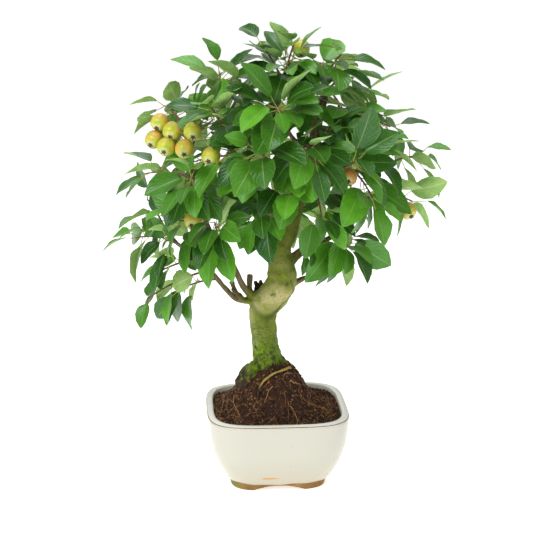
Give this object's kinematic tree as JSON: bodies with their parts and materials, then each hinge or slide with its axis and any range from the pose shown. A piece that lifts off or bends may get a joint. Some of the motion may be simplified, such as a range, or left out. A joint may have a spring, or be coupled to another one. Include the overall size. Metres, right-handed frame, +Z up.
{
  "type": "crabapple bonsai",
  "caption": "Small fruiting crabapple tree trained as a bonsai, standing in a soil-filled square glazed pot on low feet.",
  "frame": {"origin": "on the ground under the middle of the pot, which is the bottom centre of the bounding box", "axes": "+Z up along the tree, -Y towards the front of the tree, +X to the right as seen from the front"},
  "size_m": [0.4761, 0.3475, 0.6434],
  "materials": {
    "glazed_stoneware": "glossy cream glaze with bare brown clay at the feet",
    "black_plastic": "matt",
    "moist_soil": "crumbly, dark and damp",
    "bark": "wrinkled grey-olive bark with moss at the base",
    "fruit_skin": "waxy yellow-green skin with an orange blush",
    "leaf": "satin green with a paler underside"
  },
  "bodies": {
    "root": {"pot": "glazed_stoneware", "drainage_mesh": "black_plastic", "soil": "moist_soil", "trunk": "bark", "fruit_bunch_left": "fruit_skin", "fruit_left_front": "fruit_skin", "fruit_left_green": "fruit_skin", "fruit_left_hidden": "fruit_skin", "fruit_low_left": "fruit_skin", "fruit_low_mid": "fruit_skin", "fruit_top": "fruit_skin", "fruit_right_orange": "fruit_skin", "fruit_far_right": "fruit_skin", "fruit_pair_back": "fruit_skin", "shoot_leader": "leaf", "shoot_crown_left": "leaf", "shoot_crown_back": "leaf", "shoot_crown_right": "leaf", "shoot_high_left": "leaf", "shoot_high_mid_left": "leaf", "shoot_high_front": "leaf", "shoot_far_left_high": "leaf", "shoot_left_front_high": "leaf", "shoot_right_high_front": "leaf", "shoot_right_high": "leaf", "shoot_right_high_back": "leaf", "shoot_front_high": "leaf", "shoot_front_mid": "leaf", "shoot_front_mid_right": "leaf", "shoot_front_left": "leaf", "shoot_front_inner_left": "leaf", "shoot_fruit_spur_left": "leaf", "shoot_left_mid": "leaf", "shoot_left_mid_front": "leaf", "shoot_left_far": "leaf", "shoot_left_low": "leaf", "shoot_left_low_front": "leaf", "shoot_left_low_mid": "leaf", "shoot_left_hanging": "leaf", "shoot_front_low": "leaf", "shoot_front_low_right": "leaf", "shoot_right_low_inner": "leaf", "shoot_right_low": "leaf", "shoot_right_mid_front": "leaf", "shoot_right_mid": "leaf", "shoot_right_low_front": "leaf", "shoot_right_far": "leaf", "shoot_right_far_low": "leaf", "shoot_back_low_left": "leaf", "shoot_back_low_right": "leaf", "shoot_back_left": "leaf", "shoot_back_far_left": "leaf", "shoot_back_mid_left": "leaf", "shoot_back_mid_right": "leaf", "shoot_back_right": "leaf", "shoot_back_high_right": "leaf", "shoot_back_low_far_right": "leaf"}
  },
  "joints": []
}
